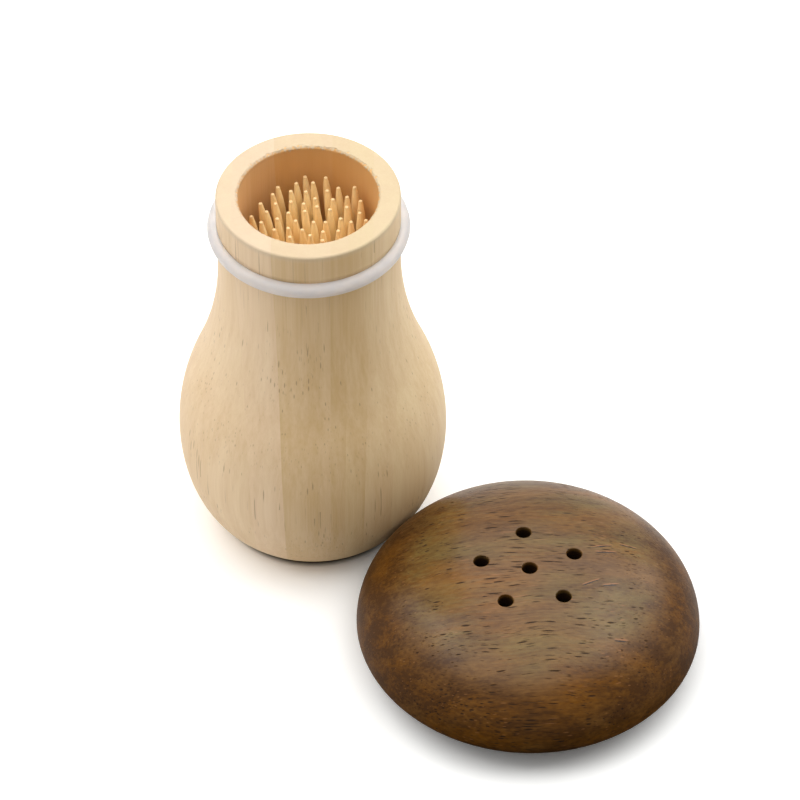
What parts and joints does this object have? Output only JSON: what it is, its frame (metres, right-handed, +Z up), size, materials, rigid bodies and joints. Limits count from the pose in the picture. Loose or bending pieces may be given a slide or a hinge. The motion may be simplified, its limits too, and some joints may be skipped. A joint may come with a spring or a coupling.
{
  "type": "toothpick dispenser",
  "caption": "Turned wooden toothpick dispenser: open bellied vessel with a silicone ring on its neck, toothpicks in its bore, and a domed cap with dispensing holes lying beside it.",
  "frame": {"origin": "centre of the vessel's foot, on the table", "axes": "+Z up along the axis of the vessel, +X to the right and -Y towards the viewer of the picture, so that the cap lies at +X, -Y"},
  "size_m": [0.1167, 0.1133, 0.095],
  "materials": {
    "pale_wood": "satin, sanded pale rubberwood",
    "dark_wood": "satin, walnut-brown stained wood",
    "silicone": "translucent milky silicone, matte",
    "toothpick_wood": "matte, golden birch or bamboo"
  },
  "bodies": {
    "vessel": {"vessel": "pale_wood", "seal_ring": "silicone"},
    "cap": {"cap": "dark_wood"},
    "toothpick_01": {"toothpick_01": "toothpick_wood"},
    "toothpick_02": {"toothpick_02": "toothpick_wood"},
    "toothpick_03": {"toothpick_03": "toothpick_wood"},
    "toothpick_04": {"toothpick_04": "toothpick_wood"},
    "toothpick_05": {"toothpick_05": "toothpick_wood"},
    "toothpick_06": {"toothpick_06": "toothpick_wood"},
    "toothpick_07": {"toothpick_07": "toothpick_wood"},
    "toothpick_08": {"toothpick_08": "toothpick_wood"},
    "toothpick_09": {"toothpick_09": "toothpick_wood"},
    "toothpick_10": {"toothpick_10": "toothpick_wood"},
    "toothpick_11": {"toothpick_11": "toothpick_wood"},
    "toothpick_12": {"toothpick_12": "toothpick_wood"},
    "toothpick_13": {"toothpick_13": "toothpick_wood"},
    "toothpick_14": {"toothpick_14": "toothpick_wood"},
    "toothpick_15": {"toothpick_15": "toothpick_wood"},
    "toothpick_16": {"toothpick_16": "toothpick_wood"},
    "toothpick_17": {"toothpick_17": "toothpick_wood"},
    "toothpick_18": {"toothpick_18": "toothpick_wood"},
    "toothpick_19": {"toothpick_19": "toothpick_wood"},
    "toothpick_20": {"toothpick_20": "toothpick_wood"},
    "toothpick_21": {"toothpick_21": "toothpick_wood"},
    "toothpick_22": {"toothpick_22": "toothpick_wood"},
    "toothpick_23": {"toothpick_23": "toothpick_wood"},
    "toothpick_24": {"toothpick_24": "toothpick_wood"},
    "toothpick_25": {"toothpick_25": "toothpick_wood"},
    "toothpick_26": {"toothpick_26": "toothpick_wood"},
    "toothpick_27": {"toothpick_27": "toothpick_wood"},
    "toothpick_28": {"toothpick_28": "toothpick_wood"},
    "toothpick_29": {"toothpick_29": "toothpick_wood"},
    "toothpick_30": {"toothpick_30": "toothpick_wood"},
    "toothpick_31": {"toothpick_31": "toothpick_wood"},
    "toothpick_32": {"toothpick_32": "toothpick_wood"},
    "toothpick_33": {"toothpick_33": "toothpick_wood"},
    "toothpick_34": {"toothpick_34": "toothpick_wood"},
    "toothpick_35": {"toothpick_35": "toothpick_wood"},
    "toothpick_36": {"toothpick_36": "toothpick_wood"},
    "toothpick_37": {"toothpick_37": "toothpick_wood"},
    "toothpick_38": {"toothpick_38": "toothpick_wood"},
    "toothpick_39": {"toothpick_39": "toothpick_wood"},
    "toothpick_40": {"toothpick_40": "toothpick_wood"},
    "toothpick_41": {"toothpick_41": "toothpick_wood"},
    "toothpick_42": {"toothpick_42": "toothpick_wood"},
    "toothpick_43": {"toothpick_43": "toothpick_wood"},
    "toothpick_44": {"toothpick_44": "toothpick_wood"},
    "toothpick_45": {"toothpick_45": "toothpick_wood"},
    "toothpick_46": {"toothpick_46": "toothpick_wood"},
    "toothpick_47": {"toothpick_47": "toothpick_wood"},
    "toothpick_48": {"toothpick_48": "toothpick_wood"},
    "toothpick_49": {"toothpick_49": "toothpick_wood"},
    "toothpick_50": {"toothpick_50": "toothpick_wood"},
    "toothpick_51": {"toothpick_51": "toothpick_wood"},
    "toothpick_52": {"toothpick_52": "toothpick_wood"},
    "toothpick_53": {"toothpick_53": "toothpick_wood"},
    "toothpick_54": {"toothpick_54": "toothpick_wood"}
  },
  "joints": [
    {"name": "cap_lift", "type": "slide", "parent": "vessel", "child": "cap", "axis": [0.366, -0.3407, 0.866], "range_m": [0, 0.09]},
    {"name": "toothpick_01_pull", "type": "slide", "parent": "vessel", "child": "toothpick_01", "axis": [-0.0755, 0.0022, 0.9971], "range_m": [0, 0.075]},
    {"name": "toothpick_02_pull", "type": "slide", "parent": "vessel", "child": "toothpick_02", "axis": [-0.0571, -0.0091, 0.9983], "range_m": [0, 0.075]},
    {"name": "toothpick_03_pull", "type": "slide", "parent": "vessel", "child": "toothpick_03", "axis": [-0.0635, 0.0134, 0.9979], "range_m": [0, 0.075]},
    {"name": "toothpick_04_pull", "type": "slide", "parent": "vessel", "child": "toothpick_04", "axis": [-0.081, -0.0103, 0.9967], "range_m": [0, 0.075]},
    {"name": "toothpick_05_pull", "type": "slide", "parent": "vessel", "child": "toothpick_05", "axis": [-0.0503, -0.0011, 0.9987], "range_m": [0, 0.075]},
    {"name": "toothpick_06_pull", "type": "slide", "parent": "vessel", "child": "toothpick_06", "axis": [-0.0783, 0.0189, 0.9968], "range_m": [0, 0.075]},
    {"name": "toothpick_07_pull", "type": "slide", "parent": "vessel", "child": "toothpick_07", "axis": [-0.0703, -0.0229, 0.9973], "range_m": [0, 0.075]},
    {"name": "toothpick_08_pull", "type": "slide", "parent": "vessel", "child": "toothpick_08", "axis": [-0.0528, 0.0185, 0.9984], "range_m": [0, 0.075]},
    {"name": "toothpick_09_pull", "type": "slide", "parent": "vessel", "child": "toothpick_09", "axis": [-0.0891, -0.0026, 0.996], "range_m": [0, 0.075]},
    {"name": "toothpick_10_pull", "type": "slide", "parent": "vessel", "child": "toothpick_10", "axis": [-0.0496, -0.0219, 0.9985], "range_m": [0, 0.075]},
    {"name": "toothpick_11_pull", "type": "slide", "parent": "vessel", "child": "toothpick_11", "axis": [-0.0728, 0.0297, 0.9969], "range_m": [0, 0.075]},
    {"name": "toothpick_12_pull", "type": "slide", "parent": "vessel", "child": "toothpick_12", "axis": [-0.0849, -0.0263, 0.996], "range_m": [0, 0.075]},
    {"name": "toothpick_13_pull", "type": "slide", "parent": "vessel", "child": "toothpick_13", "axis": [-0.0313, 0.0051, 0.9995], "range_m": [0, 0.075]},
    {"name": "toothpick_14_pull", "type": "slide", "parent": "vessel", "child": "toothpick_14", "axis": [-0.0935, 0.0167, 0.9955], "range_m": [0, 0.075]},
    {"name": "toothpick_15_pull", "type": "slide", "parent": "vessel", "child": "toothpick_15", "axis": [-0.0563, -0.0304, 0.998], "range_m": [0, 0.075]},
    {"name": "toothpick_16_pull", "type": "slide", "parent": "vessel", "child": "toothpick_16", "axis": [-0.052, 0.0326, 0.9981], "range_m": [0, 0.075]},
    {"name": "toothpick_17_pull", "type": "slide", "parent": "vessel", "child": "toothpick_17", "axis": [-0.0986, -0.0179, 0.995], "range_m": [0, 0.075]},
    {"name": "toothpick_18_pull", "type": "slide", "parent": "vessel", "child": "toothpick_18", "axis": [-0.0297, -0.0161, 0.9994], "range_m": [0, 0.075]},
    {"name": "toothpick_19_pull", "type": "slide", "parent": "vessel", "child": "toothpick_19", "axis": [-0.0803, 0.038, 0.996], "range_m": [0, 0.075]},
    {"name": "toothpick_20_pull", "type": "slide", "parent": "vessel", "child": "toothpick_20", "axis": [-0.0797, -0.0376, 0.9961], "range_m": [0, 0.075]},
    {"name": "toothpick_21_pull", "type": "slide", "parent": "vessel", "child": "toothpick_21", "axis": [-0.0309, 0.017, 0.9994], "range_m": [0, 0.075]},
    {"name": "toothpick_22_pull", "type": "slide", "parent": "vessel", "child": "toothpick_22", "axis": [-0.1102, 0.0061, 0.9939], "range_m": [0, 0.075]},
    {"name": "toothpick_23_pull", "type": "slide", "parent": "vessel", "child": "toothpick_23", "axis": [-0.0446, -0.0361, 0.9984], "range_m": [0, 0.075]},
    {"name": "toothpick_24_pull", "type": "slide", "parent": "vessel", "child": "toothpick_24", "axis": [-0.0587, 0.0417, 0.9974], "range_m": [0, 0.075]},
    {"name": "toothpick_25_pull", "type": "slide", "parent": "vessel", "child": "toothpick_25", "axis": [-0.0973, -0.033, 0.9947], "range_m": [0, 0.075]},
    {"name": "toothpick_26_pull", "type": "slide", "parent": "vessel", "child": "toothpick_26", "axis": [-0.0178, -0.0018, 0.9998], "range_m": [0, 0.075]},
    {"name": "toothpick_27_pull", "type": "slide", "parent": "vessel", "child": "toothpick_27", "axis": [-0.0965, 0.0331, 0.9948], "range_m": [0, 0.075]},
    {"name": "toothpick_28_pull", "type": "slide", "parent": "vessel", "child": "toothpick_28", "axis": [-0.0635, -0.0516, 0.9966], "range_m": [0, 0.075]},
    {"name": "toothpick_29_pull", "type": "slide", "parent": "vessel", "child": "toothpick_29", "axis": [-0.0365, 0.0358, 0.9987], "range_m": [0, 0.075]},
    {"name": "toothpick_30_pull", "type": "slide", "parent": "vessel", "child": "toothpick_30", "axis": [-0.1139, -0.0037, 0.9935], "range_m": [0, 0.075]},
    {"name": "toothpick_31_pull", "type": "slide", "parent": "vessel", "child": "toothpick_31", "axis": [-0.0225, -0.0261, 0.9994], "range_m": [0, 0.075]},
    {"name": "toothpick_32_pull", "type": "slide", "parent": "vessel", "child": "toothpick_32", "axis": [-0.0781, 0.0465, 0.9959], "range_m": [0, 0.075]},
    {"name": "toothpick_33_pull", "type": "slide", "parent": "vessel", "child": "toothpick_33", "axis": [-0.0898, -0.0475, 0.9948], "range_m": [0, 0.075]},
    {"name": "toothpick_34_pull", "type": "slide", "parent": "vessel", "child": "toothpick_34", "axis": [-0.0127, 0.0198, 0.9997], "range_m": [0, 0.075]},
    {"name": "toothpick_35_pull", "type": "slide", "parent": "vessel", "child": "toothpick_35", "axis": [-0.119, 0.0236, 0.9926], "range_m": [0, 0.075]},
    {"name": "toothpick_36_pull", "type": "slide", "parent": "vessel", "child": "toothpick_36", "axis": [-0.0418, -0.0487, 0.9979], "range_m": [0, 0.075]},
    {"name": "toothpick_37_pull", "type": "slide", "parent": "vessel", "child": "toothpick_37", "axis": [-0.0537, 0.051, 0.9973], "range_m": [0, 0.075]},
    {"name": "toothpick_38_pull", "type": "slide", "parent": "vessel", "child": "toothpick_38", "axis": [-0.112, -0.0263, 0.9934], "range_m": [0, 0.075]},
    {"name": "toothpick_39_pull", "type": "slide", "parent": "vessel", "child": "toothpick_39", "axis": [-0.0155, -0.016, 0.9998], "range_m": [0, 0.075]},
    {"name": "toothpick_40_pull", "type": "slide", "parent": "vessel", "child": "toothpick_40", "axis": [-0.0956, 0.0469, 0.9943], "range_m": [0, 0.075]},
    {"name": "toothpick_41_pull", "type": "slide", "parent": "vessel", "child": "toothpick_41", "axis": [-0.0747, -0.0602, 0.9954], "range_m": [0, 0.075]},
    {"name": "toothpick_42_pull", "type": "slide", "parent": "vessel", "child": "toothpick_42", "axis": [-0.0186, 0.0368, 0.9992], "range_m": [0, 0.075]},
    {"name": "toothpick_43_pull", "type": "slide", "parent": "vessel", "child": "toothpick_43", "axis": [-0.1239, 0.0035, 0.9923], "range_m": [0, 0.075]},
    {"name": "toothpick_44_pull", "type": "slide", "parent": "vessel", "child": "toothpick_44", "axis": [-0.0233, -0.0392, 0.999], "range_m": [0, 0.075]},
    {"name": "toothpick_45_pull", "type": "slide", "parent": "vessel", "child": "toothpick_45", "axis": [-0.065, 0.0612, 0.996], "range_m": [0, 0.075]},
    {"name": "toothpick_46_pull", "type": "slide", "parent": "vessel", "child": "toothpick_46", "axis": [-0.1055, -0.0478, 0.9933], "range_m": [0, 0.075]},
    {"name": "toothpick_47_pull", "type": "slide", "parent": "vessel", "child": "toothpick_47", "axis": [-0.0066, 0.0097, 0.9999], "range_m": [0, 0.075]},
    {"name": "toothpick_48_pull", "type": "slide", "parent": "vessel", "child": "toothpick_48", "axis": [-0.1117, 0.0337, 0.9932], "range_m": [0, 0.075]},
    {"name": "toothpick_49_pull", "type": "slide", "parent": "vessel", "child": "toothpick_49", "axis": [-0.0542, -0.0605, 0.9967], "range_m": [0, 0.075]},
    {"name": "toothpick_50_pull", "type": "slide", "parent": "vessel", "child": "toothpick_50", "axis": [-0.0307, 0.0505, 0.9983], "range_m": [0, 0.075]},
    {"name": "toothpick_51_pull", "type": "slide", "parent": "vessel", "child": "toothpick_51", "axis": [-0.1277, -0.0137, 0.9917], "range_m": [0, 0.075]},
    {"name": "toothpick_52_pull", "type": "slide", "parent": "vessel", "child": "toothpick_52", "axis": [-0.0093, -0.0315, 0.9995], "range_m": [0, 0.075]},
    {"name": "toothpick_53_pull", "type": "slide", "parent": "vessel", "child": "toothpick_53", "axis": [-0.0932, 0.0637, 0.9936], "range_m": [0, 0.075]},
    {"name": "toothpick_54_pull", "type": "slide", "parent": "vessel", "child": "toothpick_54", "axis": [-0.0877, -0.0625, 0.9942], "range_m": [0, 0.075]}
  ]
}
